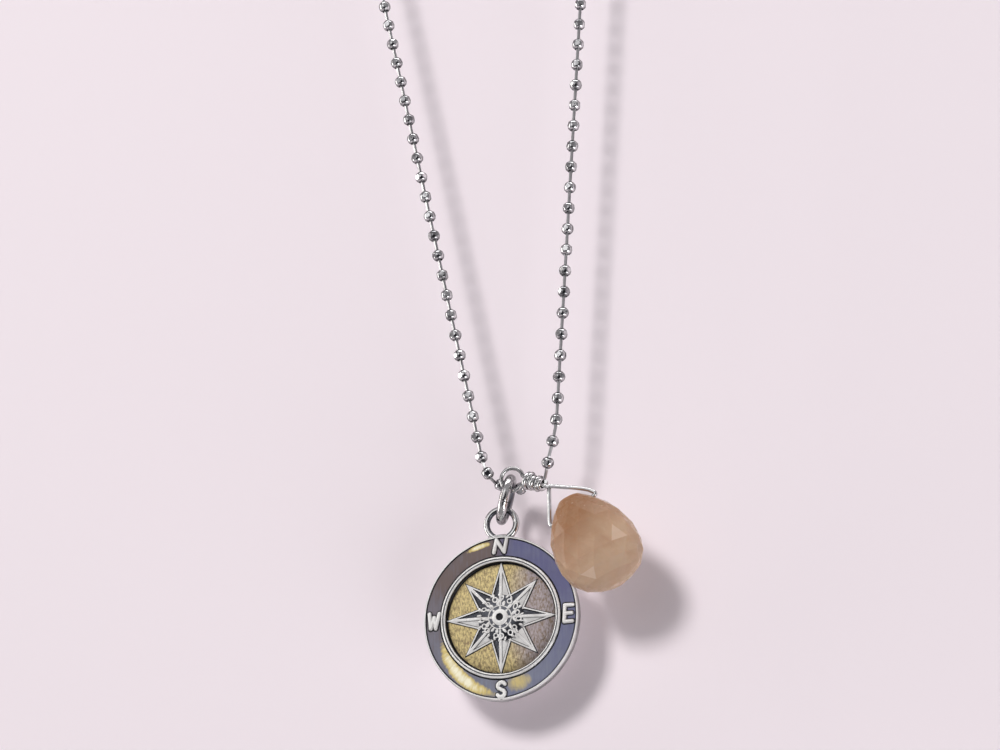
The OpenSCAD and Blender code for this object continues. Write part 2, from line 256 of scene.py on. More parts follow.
wornSettings = {  # patterns in waves per metre, and the values from which they show
    "cloud": 900, "speck": 5200, "lines": 7000, "crossLines": 6200, "dents": 700,
    "cloudFrom": (0.42, 0.72), "speckFrom": (0.56, 0.68), "linesFrom": (0.6, 0.7), "crossFrom": (0.62, 0.72),
}


def wornSilverGroup(s):  # clouds and specks of tarnish, fine scratches along and across, and shallow dents
    group, given, out = newGroup(
        "wornSilver",
        [("Vector", "Vector", (0, 0, 0)), ("Clean", "Color", (0.9, 0.9, 0.91, 1)),
         ("Tarnish", "Color", (0.3, 0.27, 0.25, 1)), ("Tarnish Amount", "Float", 0.2),
         ("Roughness", "Float", 0.12), ("Scratch", "Float", 0.4)],
        [("Color", "Color"), ("Roughness", "Float"), ("Height", "Float")])
    vector = given["Vector"]
    cloud = noiseOf(group, vector, s["cloud"], 4, 0.6)
    specks = ranged(group, noiseOf(group, vector, s["speck"], 3), *s["speckFrom"], 0, 0.8)
    stain = maths(group, "MAXIMUM", ranged(group, cloud, *s["cloudFrom"], 0, 1), specks)
    amount = times(group, stain, given["Tarnish Amount"])
    group.links.new(colourMix(group, amount, given["Clean"], given["Tarnish"]), out["Color"])
    rough = added(group, given["Roughness"], ranged(group, cloud, 0.3, 0.75, -0.02, 0.1))
    group.links.new(maths(group, "MAXIMUM", rough, 0.03), out["Roughness"])
    lines = noiseOf(group, stretched(group, vector, (1, 1, 0.12)), s["lines"], 2)
    crossLines = noiseOf(group, stretched(group, vector, (0.1, 1, 1)), s["crossLines"], 2)
    crossed = ranged(group, crossLines, *s["crossFrom"], 0, 1)
    scratch = added(group, ranged(group, lines, *s["linesFrom"], 0, 1), crossed)
    dents = noiseOf(group, vector, s["dents"], 1)
    group.links.new(maths(group, "SUBTRACT", dents, times(group, scratch, given["Scratch"])), out["Height"])
    return group


sideSettings = {"cloud": 600, "drift": 0.002}  # waves per metre, and how far the border drifts in metres


def sideTintGroup(s):  # a colour that changes from the left side to the right one, with a cloudy border
    group, given, out = newGroup(
        "sideTint",
        [("Vector", "Vector", (0, 0, 0)), ("Left", "Color", (0.4, 0.3, 0.3, 1)),
         ("Right", "Color", (0.3, 0.3, 0.5, 1)), ("Middle", "Float", 0), ("Soften", "Float", 0.001)],
        [("Color", "Color")])
    vector = given["Vector"]
    cloudy = times(group, maths(group, "SUBTRACT", noiseOf(group, vector, s["cloud"], 3), 0.5), s["drift"])
    across = added(group, maths(group, "SUBTRACT", axesOf(group, vector)["X"], given["Middle"]), cloudy)
    share = ranged(group, maths(group, "DIVIDE", across, given["Soften"]), -1, 1, 0, 1)
    group.links.new(colourMix(group, share, given["Left"], given["Right"]), out["Color"])
    return group


groups = {"wornSilver": wornSilverGroup(wornSettings), "sideTint": sideTintGroup(sideSettings)}

# Materials

materials = {}
bumpDepth = 0.04 * mm


def newMaterial(name, **values):
    material = bpy.data.materials.new(name)
    material.use_nodes = True
    materials[name] = material
    shader = material.node_tree.nodes["Principled BSDF"].inputs
    for label, value in values.items():
        shader[label.replace("_", " ")].default_value = value
    return material.node_tree, shader


def objectVector(tree, place=(0, 0, 0)):
    coordinates = addNode(tree, "ShaderNodeTexCoord")
    mapping = addNode(tree, "ShaderNodeMapping")
    mapping.inputs["Location"].default_value = tuple(-v for v in place)
    tree.links.new(coordinates.outputs["Object"], mapping.inputs["Vector"])
    return mapping.outputs["Vector"]


def useGroup(tree, name, vector, **values):
    node = addNode(tree, "ShaderNodeGroup", node_tree=groups[name])
    tree.links.new(vector, node.inputs["Vector"])
    for label, value in values.items():
        feed(tree, value, node.inputs[label.replace("_", " ")])
    return node.outputs


def facingEdge(tree, start, end, low, high):  # grows from low to high where the surface turns away
    return ranged(tree, addNode(tree, "ShaderNodeLayerWeight").outputs["Facing"], start, end, low, high)


def finished(tree, shader, colour, roughness, height, strength):
    bump = addNode(tree, "ShaderNodeBump")
    for label, value in (("Strength", strength), ("Distance", bumpDepth), ("Height", height)):
        feed(tree, value, bump.inputs[label])
    sources = {"Base Color": colour, "Roughness": roughness, "Normal": bump.outputs["Normal"]}
    for label, source in sources.items():
        tree.links.new(source, shader[label])


silverSettings = {  # clean colour, tarnish colour, its amount, roughness, scratches, bump, metal, painted outline shade
    "chainSilver": ((0.86, 0.86, 0.87), (0.1, 0.1, 0.11), 0.85, 0.07, 0.3, 0.12, 1, 0.95),
    "threadSilver": ((0.66, 0.66, 0.67), (0.3, 0.29, 0.3), 0.5, 0.32, 0.3, 0.2, 1, 0.6),
    "claspSilver": ((0.88, 0.88, 0.89), (0.4, 0.36, 0.33), 0.25, 0.1, 0.4, 0.15, 1, 0.75),
    "ringSilver": ((0.92, 0.92, 0.92), (0.24, 0.2, 0.18), 0.6, 0.1, 0.6, 0.25, 1, 0.92),
    "wireSilver": ((0.92, 0.92, 0.92), (0.4, 0.38, 0.36), 0.3, 0.1, 0.4, 0.2, 1, 0.85),
    "castSilver": ((0.97, 0.97, 0.96), (0.3, 0.29, 0.3), 0.3, 0.26, 0.8, 0.5, 1, 0.6),
    "paleSilver": ((0.97, 0.965, 0.96), (0.5, 0.47, 0.45), 0.4, 0.3, 0.6, 0.5, 0.15, 0.45),
    "slateSilver": ((0.2, 0.21, 0.24), (0.07, 0.07, 0.08), 0.6, 0.26, 0.6, 0.4, 1, 0.3),
    "darkHollow": ((0.07, 0.07, 0.08), (0.02, 0.02, 0.02), 0.8, 0.4, 0.8, 0.6, 1, 0),
}
# painted shade: each silver darkens to near black where its surface turns away from the viewer
edgeShadeSettings = {"start": 0.3, "end": 0.66, "colour": (0.04, 0.04, 0.045)}


def makeSilver(name, clean, tarnish, amount, roughness, scratch, bump, metal, edge):
    tree, shader = newMaterial(name, Metallic=metal)
    worn = useGroup(tree, "wornSilver", objectVector(tree), Clean=clean, Tarnish=tarnish,
                    Tarnish_Amount=amount, Roughness=roughness, Scratch=scratch)
    # painted shade along the silhouette, as strong as the last column of silverSettings
    outline = facingEdge(tree, edgeShadeSettings["start"], edgeShadeSettings["end"], 0, edge)
    colour = colourMix(tree, outline, worn["Color"], edgeShadeSettings["colour"])
    finished(tree, shader, colour, worn["Roughness"], worn["Height"], bump)


for name, values in silverSettings.items():
    makeSilver(name, *values)

# The charm's sizes in mm, needed by its materials too

charmSettings = {
    "halfWidth": 7.68, "halfHeight": 8.04, "thickness": 1.35, "bossRise": 0.32,
    "rimOut": 5.93, "rimIn": 5.47, "rimRise": 0.16, "fieldDepth": 0.4, "wobble": 0.006, "wobbleWaves": 2.4,
    "longPoint": 5.42, "shortPoint": 4.95, "valley": 2.45, "starRise": 0.62, "border": 0.14,
    "borderDepth": 0.1, "starEdge": 0.12, "starFoot": -0.1, "footSpread": 1.012, "wall": 0.04,
    "shadeSpread": 1.05, "shadeRise": 0.012,
    "litFacetWay": (0.75, -0.66),  # the star's facets that look right or down get the pale finish as painted light, the others the slate finish as painted shade
    "loopRadius": 1.47, "loopWire": 0.62, "loopUp": 9.26, "loopBack": -0.425, "solder": (1.35, 0.22, 0.36),
    "collar": 1.13, "collarWire": 0.13, "petalThick": 0.13, "petalSeed": 5,
    "petalRows": (  # how many, at which radius, length, width, height, shape
        (13, 1.42, 0.28, 0.15, 0.14, "petal"), (15, 1.78, 0.25, 0.2, 0.06, "curl"),
        (22, 2.12, 0.24, 0.11, -0.02, "petal")),
    "stroke": 0.2, "strokeRise": 0.21, "outline": 0.1, "outlineRise": 0.035, "outlineLift": -0.02,
}


def charmMiddle(s):  # the middle of the dial, at the band's height
    low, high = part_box("compass_disc")
    return Vector(((low.x + high.x) / 2, low.y + s["bossRise"] * mm, low.z + s["halfHeight"] * mm))


charmCentre = charmMiddle(charmSettings)

# The charm's and the stone's materials

bandSettings = {
    "left": (0.16, 0.12, 0.115), "right": (0.13, 0.13, 0.25), "low": (0.22, 0.235, 0.31),
    "middle": 0.0002, "soften": 0.0009, "gold": (0.72, 0.57, 0.21), "cream": (1, 0.95, 0.72),
    "brushLines": 3800, "brushWay": (1, 1, 0.1), "cloud": 420, "ragged": 2300,
    "lowFrom": (-0.006, 0.003),  # heights in metres between which the lower colour fades away
    "patches": (  # turn and half length in degrees, radius, half width, strength, outward drift in mm
        (233, 31, 6.75, 0.62, 1, 0.6), (107, 9, 7.35, 0.26, 0.9, 0), (286, 10, 6.6, 0.8, 0.42, 0)),
    "metal": 0.5, "tarnish": (0.1, 0.09, 0.1), "tarnishAmount": 0.12, "roughness": 0.1, "scratch": 0.5,
    "bump": 0.2,
}


def goldPatch(tree, x, z, radius, waves, turn, half, middle, width, strength, drift):  # follows the band
    turn, half = math.radians(turn), math.radians(half)
    ahead = added(tree, times(tree, x, math.cos(turn)), times(tree, z, math.sin(turn)))
    aside = maths(tree, "SUBTRACT", times(tree, z, math.cos(turn)), times(tree, x, math.sin(turn)))
    angle = maths(tree, "ARCTAN2", aside, ahead)
    streaks = addNode(tree, "ShaderNodeCombineXYZ")
    tree.links.new(times(tree, radius, 0.35), streaks.inputs["X"])
    tree.links.new(times(tree, angle, 0.009), streaks.inputs["Y"])
    ragged = ranged(tree, noiseOf(tree, streaks.outputs["Vector"], waves, 3), 0.3, 0.7, -0.3, 0.3)
    drifted = added(tree, times(tree, angle, drift * mm / half), middle * mm)
    along = maths(tree, "DIVIDE", angle, half)
    across = maths(tree, "DIVIDE", maths(tree, "SUBTRACT", radius, drifted), width * mm)
    away = added(tree, maths(tree, "POWER", along, 2), maths(tree, "POWER", across, 2), ragged)
    return ranged(tree, away, 0.1, 1.25, strength, 0)


def makeBandMaterial(s):  # mirror band: taupe on the left, blue-violet on the right, with golden patches that pale to cream at their strongest
    tree, shader = newMaterial("bandSilver", Metallic=s["metal"])
    vector = objectVector(tree, charmCentre)
    tint = useGroup(tree, "sideTint", vector, Left=s["left"], Right=s["right"],
                    Middle=s["middle"], Soften=s["soften"])
    axes = axesOf(tree, vector)
    x, z = axes["X"], axes["Z"]
    radius = maths(tree, "SQRT", added(tree, times(tree, x, x), times(tree, z, z)))
    gold = 0
    for patch in s["patches"]:
        gold = maths(tree, "MAXIMUM", goldPatch(tree, x, z, radius, s["ragged"], *patch), gold)
    fine = noiseOf(tree, stretched(tree, vector, s["brushWay"]), s["brushLines"], 4)
    brushed = added(tree, fine, noiseOf(tree, vector, s["cloud"], 2))
    lower = added(tree, ranged(tree, z, *s["lowFrom"], 0.8, 0), ranged(tree, brushed, 0.8, 1.25, -0.15, 0.3))
    colour = colourMix(tree, maths(tree, "MAXIMUM", lower, 0), tint["Color"], s["low"])
    colour = colourMix(tree, ranged(tree, gold, 0, 0.5, 0, 1), colour, s["gold"])
    colour = colourMix(tree, ranged(tree, gold, 0.5, 1, 0, 1), colour, s["cream"])
    worn = useGroup(tree, "wornSilver", vector, Clean=colour, Tarnish=s["tarnish"],
                    Tarnish_Amount=s["tarnishAmount"], Roughness=s["roughness"], Scratch=s["scratch"])
    finished(tree, shader, worn["Color"], worn["Roughness"], worn["Height"], s["bump"])


fieldSettings = {
    "left": (1.0, 0.82, 0.4), "right": (0.62, 0.54, 0.56), "middle": 0.0003, "spread": 0.38, "soften": 0.0011,
    "metal": 0.75, "grain": (0.27, 0.19, 0.12), "grainAmount": 0.85, "bump": 0.5,
    "fine": 7000, "coarse": 2400, "grainWay": (1, 1, 0.4),
}


def makeFieldMaterial(s):  # fine satin: golden left and towards the top and bottom, mauve-grey right
    tree, shader = newMaterial("fieldSilver", Metallic=s["metal"])
    vector = objectVector(tree, charmCentre)
    away = maths(tree, "ABSOLUTE", axesOf(tree, vector)["Z"])
    border = added(tree, times(tree, away, s["spread"]), s["middle"])
    tint = useGroup(tree, "sideTint", vector, Left=s["left"], Right=s["right"],
                    Middle=border, Soften=s["soften"])
    grain = noiseOf(tree, stretched(tree, vector, s["grainWay"]), s["fine"], 4, 0.4)
    coarse = noiseOf(tree, vector, s["coarse"], 4, 0.8)
    dark = ranged(tree, added(tree, grain, times(tree, coarse, 0.7)), 0.68, 0.98, s["grainAmount"], 0)
    colour = colourMix(tree, dark, tint["Color"], s["grain"])
    rough = ranged(tree, coarse, 0.3, 0.7, 0.26, 0.46)
    finished(tree, shader, colour, rough, added(tree, grain, coarse), s["bump"])


makeBandMaterial(bandSettings)
makeFieldMaterial(fieldSettings)

peachSettings = {
    "deep": (0.4, 0.22, 0.13), "milky": (0.5, 0.33, 0.22), "foot": (0.66, 0.5, 0.37),
    # edge is the colour of the painted light rim, which glint facets also take all over as painted glints
    "tip": (0.26, 0.13, 0.065), "fleck": (0.9, 0.75, 0.62), "edge": (0.9, 0.76, 0.66),
    "footFrom": (-0.0135, -0.006), "tipFrom": (-0.0095, -0.003), "fleckFrom": (-0.0045, -0.0015),  # in metres
    "cloud": 260, "flecks": 2300, "slant": 0.7, "rimLightAmount": 0.3, "bump": 0.12,
    "kinds": (("peachStone", 0), ("peachGlint", 0.26)),  # the facets that catch the light are paler
}


def makePeach(name, glint, s):  # milky peach stone: redder by the tip, paler at the foot, with pale flecks and a painted light rim
    tree, shader = newMaterial(name, IOR=1.5, Specular_IOR_Level=0.12, Subsurface_Weight=0.55,
                               Subsurface_Scale=1.4 * mm, Subsurface_Radius=(1.0, 0.55, 0.38))
    low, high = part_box("drop_stone")
    vector = objectVector(tree, (low.x, low.y, high.z))
    axes = axesOf(tree, vector)
    cloud = noiseOf(tree, vector, s["cloud"], 4, 0.9)
    body = colourMix(tree, ranged(tree, cloud, 0.35, 0.68, 0, 1), s["deep"], s["milky"])
    slope = maths(tree, "SUBTRACT", axes["Z"], times(tree, axes["X"], s["slant"]))
    body = colourMix(tree, ranged(tree, slope, *s["footFrom"], 0.65, 0), body, s["foot"])
    body = colourMix(tree, ranged(tree, slope, *s["tipFrom"], 0, 0.9), body, s["tip"])
    fleck = ranged(tree, noiseOf(tree, vector, s["flecks"], 2), 0.7, 0.76, 0, 0.7)
    nearTip = ranged(tree, axes["Z"], *s["fleckFrom"], 0, 1)
    body = colourMix(tree, times(tree, fleck, nearTip), body, s["fleck"])
    # painted light: the colour pales towards the silhouette as a rim sheen, and glint facets are paler all
    # over
    outline = facingEdge(tree, 0.6, 0.95, glint, s["rimLightAmount"] + glint)
    colour = colourMix(tree, outline, body, s["edge"])
    rough = ranged(tree, noiseOf(tree, vector, 1500, 3), 0.3, 0.7, 0.2, 0.34)
    finished(tree, shader, colour, rough, noiseOf(tree, vector, 1200, 3), s["bump"])


for name, glint in peachSettings["kinds"]:
    makePeach(name, glint, peachSettings)
print("materials made")

# Modelling helpers


def finishPiece(bm, name, body, finishes, replaced, smooth=True):  # None keeps each face's own shading
    mesh = bpy.data.meshes.new(name)
    if smooth is not None:
        for face in bm.faces:
            face.smooth = smooth
    bm.to_mesh(mesh)
    bm.free()
    for finish in finishes:
        mesh.materials.append(materials[finish])
    piece = bpy.data.objects.new(name, mesh)
    bpy.context.scene.collection.objects.link(piece)
    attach(piece, body)
    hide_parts(*replaced)
    return piece


def addCopy(bm, part, matrix, material=None):  # copies a part in; without a material, its faces keep theirs
    if material is not None:
        for face in part.faces:
            face.material_index = material
    mesh = bpy.data.meshes.new("part")
    part.to_mesh(mesh)
    before = len(bm.verts)
    bm.from_mesh(mesh)
    bm.verts.ensure_lookup_table()
    bmesh.ops.transform(bm, matrix=matrix, verts=bm.verts[before:])
    bpy.data.meshes.remove(mesh)


def addPart(bm, part, matrix=Matrix.Identity(4), material=None):  # moves a part into the piece
    addCopy(bm, part, matrix, material)
    part.free()


def turnedTo(way):
    return way.to_track_quat("Z", "Y").to_matrix().to_4x4()


def spun(profile, steps, closed=False):  # profile of (radius, height) turned once round Z
    bm = bmesh.new()
    verts = [bm.verts.new((r, 0, z)) for r, z in profile]
    pairs = list(zip(verts, verts[1:])) + ([(verts[-1], verts[0])] if closed else [])
    edges = [bm.edges.new(pair) for pair in pairs]
    bmesh.ops.spin(bm, geom=verts + edges, cent=(0, 0, 0), axis=(0, 0, 1), angle=math.tau, steps=steps,
                   use_merge=True)
    bmesh.ops.remove_doubles(bm, verts=bm.verts, dist=1e-4)
    bmesh.ops.dissolve_degenerate(bm, edges=bm.edges, dist=1e-5)
    bmesh.ops.recalc_face_normals(bm, faces=bm.faces)
    return bm


def wireRing(radius, wire, steps=64, sides=16):
    turns = [math.tau * i / sides for i in range(sides)]
    profile = [(radius + wire / 2 * math.cos(a), wire / 2 * math.sin(a)) for a in turns]
    return spun(profile, steps, closed=True)


def capsule(a, b, radius, rise):  # a round-ended stroke lying from a to b
    bm = bmesh.new()
    bmesh.ops.create_uvsphere(bm, u_segments=16, v_segments=8, radius=radius)
    way = Vector(b) - Vector(a)
    for vert in bm.verts:
        if vert.co.x > 1e-5:
            vert.co.x += way.length
        vert.co.z *= rise / radius
    turn = Matrix.Rotation(math.atan2(way.y, way.x), 4, "Z")
    bmesh.ops.transform(bm, matrix=Matrix.Translation((*a, 0)) @ turn, verts=bm.verts)
    return bm


def mergedCopy(node):
    bm = bmesh.new()
    bm.from_mesh(nodes[node].data)
    bmesh.ops.remove_doubles(bm, verts=bm.verts, dist=1e-7)
    return bm


# The charm

charmFinishes = (
    "bandSilver", "fieldSilver", "castSilver", "slateSilver", "darkHollow", "paleSilver", "ringSilver")
band, field, cast, slate, dark, pale, bright = range(len(charmFinishes))


def outlineShare(angle, s):  # the outline is a little taller than wide
    radius, shift = s["halfHeight"], s["halfHeight"] - s["halfWidth"]
    return (-shift * abs(math.cos(angle)) + math.sqrt(radius ** 2 - (shift * math.sin(angle)) ** 2)) / radius


def plateFinish(middle, s):  # by a face's distance from the centre and its height
    away = math.hypot(middle.x, middle.y)
    lip, groove, out, inner = s["halfHeight"] - 0.22, s["halfHeight"] - 0.32, s["rimOut"], s["rimIn"]
    if middle.z < -1.0 or (away > lip and middle.z < -0.3):  # back and side
        return cast
    if away > lip:
        return pale
    if away > groove:
        return dark
    if away > out + 0.13:
        return band
    if away > out or inner - 0.19 < away < inner - 0.01:  # creases on both sides of the raised ring
        return dark
    if away > inner:  # the raised ring, with a groove round its top
        return slate if out - 0.31 < away < out - 0.2 else pale
    return field


def charmPlate(s):  # disc, lip, band, raised ring and sunk field as one turned profile
    r, out, inner = s["halfHeight"], s["rimOut"], s["rimIn"]
    deep, top, thick = s["fieldDepth"], s["rimRise"], s["thickness"]
    profile = [
        (0, -thick), (3.5, -thick), (7.1, 0.01 - thick), (7.7, 0.09 - thick), (r - 0.08, 0.25 - thick),
        (r, 0.45 - thick), (r, -0.42), (r - 0.02, -0.18), (r - 0.06, -0.05), (r - 0.11, 0.03),
        (r - 0.2, 0.03), (r - 0.24, -0.06), (r - 0.3, -0.07), (r - 0.34, -0.03), (6.8, -0.02), (6.25, -0.02),
        (out + 0.14, -0.03), (out + 0.06, -0.09), (out, -0.07), (out - 0.02, top - 0.09),
        (out - 0.1, top - 0.01), (out - 0.2, top + 0.02), (out - 0.24, top - 0.05), (out - 0.28, top - 0.05),
        (out - 0.31, top + 0.01), (inner + 0.1, top), (inner + 0.03, top - 0.06), (inner, top - 0.16),
        (inner - 0.02, 0.02 - deep), (inner - 0.07, -deep - 0.05), (inner - 0.18, -deep - 0.04),
        (inner - 0.3, -deep), (4, -deep), (2, -deep), (0, -deep),
    ]
    bm = spun(profile, 144)
    for face in bm.faces:
        face.material_index = plateFinish(face.calc_center_median(), s)
    start, end = 6.2, r - 0.6  # the band takes up the outline's own shape between these radii
    for vert in bm.verts:
        away = math.hypot(vert.co.x, vert.co.y)
        if away > start:
            angle = math.atan2(vert.co.y, vert.co.x)
            part = min(1, (away - start) / (end - start))
            waves = Vector((math.cos(angle), math.sin(angle), 0)) * s["wobbleWaves"]
            worn = min(1 + s["wobble"] * noise.noise(waves), 1)
            share = 1 + part * (outlineShare(angle, s) * worn - 1)
            vert.co.x *= share
            vert.co.y *= share
    return bm


def starOutline(bm, s, spread=1):  # long points, short points and the valleys between them
    corners = 16
    made = bmesh.ops.create_circle(bm, cap_ends=True, segments=corners, radius=1)["verts"]
    for vert in made:
        step = round(math.atan2(vert.co.y, vert.co.x) / math.tau * corners)
        reach = s["valley"] if step % 2 else s["shortPoint"] if step % 4 else s["longPoint"]
        angle = math.tau * step / corners
        vert.co = Vector((math.cos(angle), math.sin(angle), 0)) * reach * spread
    bmesh.ops.recalc_face_normals(bm, faces=bm.faces)
    if bm.faces[:][0].normal.z < 0:
        bmesh.ops.reverse_faces(bm, faces=bm.faces)
    return made


def starShape(s):  # a roof of facets, each sunk inside a narrow border and painted lit or shaded by the way it faces, over a dark plate that outlines it
    bm = bmesh.new()
    made = starOutline(bm, s)
    poked = bmesh.ops.poke(bm, faces=bm.faces[:])
    poked["verts"][0].co.z = s["starRise"]
    roof = poked["faces"]
    for vert in made:
        vert.co.z = s["starEdge"]
    rim = [edge for edge in bm.edges if edge.is_boundary]
    for item in bmesh.ops.extrude_edge_only(bm, edges=rim)["geom"]:
        if isinstance(item, bmesh.types.BMVert):
            item.co.z = s["starFoot"]
            item.co.x *= s["footSpread"]
            item.co.y *= s["footSpread"]
        elif isinstance(item, bmesh.types.BMFace):
            item.material_index = dark
    for face in roof:
        face.material_index = pale
    bm.normal_update()
    bmesh.ops.inset_individual(bm, faces=roof, thickness=s["border"], depth=0, use_even_offset=True)
    walls = bmesh.ops.inset_individual(bm, faces=roof, thickness=s["wall"], depth=-s["borderDepth"],
                                       use_even_offset=True)["faces"]
    for face in walls:
        face.material_index = dark
    # painted light and shade: facets facing right or down are pale, the rest slate
    right, up = s["litFacetWay"]
    for face in roof:
        face.material_index = pale if face.normal.x * right + face.normal.y * up > 0 else slate
    shade = bmesh.new()
    starOutline(shade, s, s["shadeSpread"])
    addPart(bm, shade, Matrix.Translation((0, 0, s["shadeRise"])), dark)
    return bm


def bow(up, start, end, across=0.46, tall=0.24, parts=7):  # a round part of a letter
    turns = [math.radians(start + (end - start) * i / parts) for i in range(parts + 1)]
    return [(across * math.cos(a), up + tall * math.sin(a)) for a in turns]


letterSettings = {  # lines as shares of the letter's size, then its width, height, slant and shift
    "N": ([((-0.42, -0.5), (-0.36, 0.5), (0.36, -0.5), (0.42, 0.5))], 1.3, 1.22, 0.14, 0),
    "E": ([((-0.4, -0.5), (-0.4, 0.5), (0.5, 0.5)), ((-0.4, 0), (0.4, 0.02)), ((-0.4, -0.5), (0.5, -0.48))],
          0.85, 1.6, 0.04, -0.12),
    "S": ([bow(0.26, 25, 262), bow(-0.26, 82, -155)], 0.78, 1.4, 0.05, 0.1),
    "W": ([((-0.5, 0.5), (-0.3, -0.5), (0, 0.25), (0.2, -0.5), (0.5, 0.5))], 0.98, 1.45, 0.05, 0.2),
}


def addLetters(bm, s):  # each stroke is a raised pale bar on a wider dark one
    across, along = (s["rimOut"] + s["halfWidth"]) / 2, (s["rimOut"] + s["halfHeight"]) / 2
    places = {"N": (0, along), "E": (across, 0), "S": (0, -along), "W": (-across, 0)}
    bars = ((s["stroke"] + s["outline"], s["outlineRise"], s["outlineLift"], dark),
            (s["stroke"], s["strokeRise"], 0, pale))
    for name, (lines, width, height, slant, shift) in letterSettings.items():
        x, y = places[name]
        for line in lines:
            corners = [(x + shift + a * width + b * height * slant, y + b * height) for a, b in line]
            for a, b in zip(corners, corners[1:]):
                for radius, rise, lift, finish in bars:
                    addPart(bm, capsule(a, b, radius, rise), Matrix.Translation((0, 0, lift)), finish)


def addRosette(bm, s):  # a dark mound with rows of cast petals and curls, a collar and the boss
    mound = [(0, -0.25), (0.8, -0.25), (0.82, 0.1), (1.1, 0.1), (1.9, 0.0), (2.2, -0.12), (2.3, -0.3)]
    addPart(bm, spun(mound, 48), material=slate)
    addPart(bm, wireRing(s["collar"], s["collarWire"], 48, 8), Matrix.Translation((0, 0, 0.12)), pale)
    draw = random.Random(s["petalSeed"])
    petal = bmesh.new()
    bmesh.ops.create_uvsphere(petal, u_segments=12, v_segments=8, radius=1)
    curl = wireRing(1, 0.62, 14, 7)
    for count, ring, length, width, rise, shape in s["petalRows"]:
        for i in range(count):
            around = Matrix.Rotation(math.tau * (i + draw.uniform(0.3, 0.7)) / count, 4, "Z")
            place = Matrix.Translation((ring + draw.uniform(-0.06, 0.06), 0, rise))
            twist = Matrix.Rotation(draw.uniform(-0.7, 0.7), 4, "Z")
            size = (length * draw.uniform(0.8, 1.2), width * draw.uniform(0.8, 1.2), s["petalThick"], 1)
            part = petal if shape == "petal" else curl
            addCopy(bm, part, around @ place @ twist @ Matrix.Diagonal(size), pale)
    petal.free()
    curl.free()
    boss = spun([(0, 0.235), (0.22, 0.235), (0.3, 0.25), (0.36, 0.3), (0.44, s["bossRise"]), (0.56, 0.3),
                 (0.7, 0.25), (0.8, 0.16), (0.86, 0.02), (0.86, -0.2)], 48)
    for face in boss.faces:
        middle = face.calc_center_median()
        hollow = math.hypot(middle.x, middle.y) < 0.33 or middle.z < 0.1  # its dimple and its foot
        face.material_index = dark if hollow else pale
    addPart(bm, boss)


def makeCharm(s):
    bm = bmesh.new()
    addPart(bm, charmPlate(s))
    addPart(bm, starShape(s), Matrix.Translation((0, 0, -s["fieldDepth"])))
    addRosette(bm, s)
    addLetters(bm, s)
    loop = wireRing(s["loopRadius"], s["loopWire"], 72, 18)
    # painted shade: the loop's inner side gets the slate finish, the outer side the ring finish
    for face in loop.faces:
        inside = face.calc_center_median().to_2d().length < s["loopRadius"] - s["loopWire"] * 0.3
        face.material_index = slate if inside else bright
    addPart(bm, loop, Matrix.Translation((0, s["loopUp"], s["loopBack"])))
    solder = bmesh.new()
    bmesh.ops.create_uvsphere(solder, u_segments=20, v_segments=10, radius=1)
    place = Matrix.Translation((0, s["halfHeight"] - 0.02, s["loopBack"]))
    addPart(bm, solder, place @ Matrix.Diagonal((*s["solder"], 1)), cast)
    bm.transform(Matrix.Translation(charmCentre) @ upright @ Matrix.Scale(mm, 4))
    charm = finishPiece(bm, "compass_charm", "pendant", charmFinishes, ["compass_disc"])
    charm.data.set_sharp_from_angle(angle=math.radians(32))


makeCharm(charmSettings)
print("charm made")

# The chain's beads

beadSettings = {
    "diameter": 1.24, "flatAt": 0.535, "endAt": 0.52, "rim": 0.09, "boreDepth": 0.3,
    "first": -6, "seed": 7,  # the first bead is this far from the clasp's middle
}


def islandCentres(bm):  # the middle of each loose solid's box
    bm.verts.ensure_lookup_table()
    left = set(bm.verts)
    centres = []
    while left:
        found, queue = [], [left.pop()]
        while queue:
            vert = queue.pop()
            found.append(vert.co)
            for edge in vert.link_edges:
                other = edge.other_vert(vert)
                if other in left:
                    left.remove(other)
                    queue.append(other)
        lowest = Vector([min(co[i] for co in found) for i in range(3)])
        highest = Vector([max(co[i] for co in found) for i in range(3)])
        centres.append((lowest + highest) / 2)
    return centres


def inOrder(centres, first):  # walks the chain from the bead left of the clasp
    ahead = list(centres)
    line = [min(ahead, key=lambda c: abs(c.x - first) + abs(c.z))]
    ahead.remove(line[0])
    while ahead:
        line.append(min(ahead, key=lambda c: (c - line[-1]).length))
        ahead.remove(line[-1])
    return line


def cutFlat(bm, way, distance):  # slices a flat off the ball and closes it
    made = bmesh.ops.bisect_plane(bm, geom=bm.verts[:] + bm.edges[:] + bm.faces[:], plane_co=way * distance,
                                  plane_no=way, clear_outer=True)
    rim = [item for item in made["geom_cut"] if isinstance(item, bmesh.types.BMEdge)]
    return bmesh.ops.edgeloop_fill(bm, edges=rim)["faces"]


def beadShape(s):  # a ball with four flats and a sunk bore at both ends
    bm = bmesh.new()
    bmesh.ops.create_uvsphere(bm, u_segments=10, v_segments=6, radius=s["diameter"] / 2)
    for face in bm.faces:
        face.smooth = True
    for way in ((1, 0, 0), (-1, 0, 0), (0, 1, 0), (0, -1, 0)):
        cutFlat(bm, Vector(way), s["flatAt"])
    for way in (Vector((0, 0, 1)), Vector((0, 0, -1))):
        end = cutFlat(bm, way, s["endAt"])
        bmesh.ops.inset_individual(bm, faces=end, thickness=s["rim"], depth=0, use_even_offset=True)
        bmesh.ops.translate(bm, verts=end[0].verts, vec=-way * s["boreDepth"])
        # painted shade: the sunk bore's floor gets the dark finish
        end[0].material_index = 1
    bmesh.ops.recalc_face_normals(bm, faces=bm.faces)
    return bm


